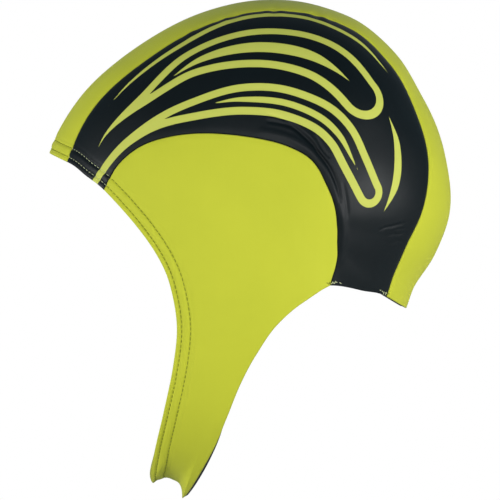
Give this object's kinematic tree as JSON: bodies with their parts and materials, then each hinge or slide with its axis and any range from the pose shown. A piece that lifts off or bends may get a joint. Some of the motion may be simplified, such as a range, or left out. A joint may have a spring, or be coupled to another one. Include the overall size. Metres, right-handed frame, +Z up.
{
  "type": "neoprene swim hood",
  "caption": "Neoprene swim hood of flat panels joined edge to edge, open round the face, with ear panels that run on into a strap under the chin.",
  "frame": {"origin": "inside of the crown, where it sits on the top of the wearer's head, on the plane between the two sides", "axes": "+Z up, face opening towards -Y, +X towards the wearer's left ear"},
  "size_m": [0.156, 0.1906, 0.2368],
  "materials": {
    "lime_neoprene": "matte",
    "black_neoprene": "satin",
    "lime_thread": "satin",
    "black_foam": "matte"
  },
  "bodies": {
    "root": {"centre_strip": "lime_neoprene", "side_panel_left": "black_neoprene", "side_panel_right": "black_neoprene", "ear_panel_left": "lime_neoprene", "ear_panel_right": "lime_neoprene"}
  },
  "joints": []
}
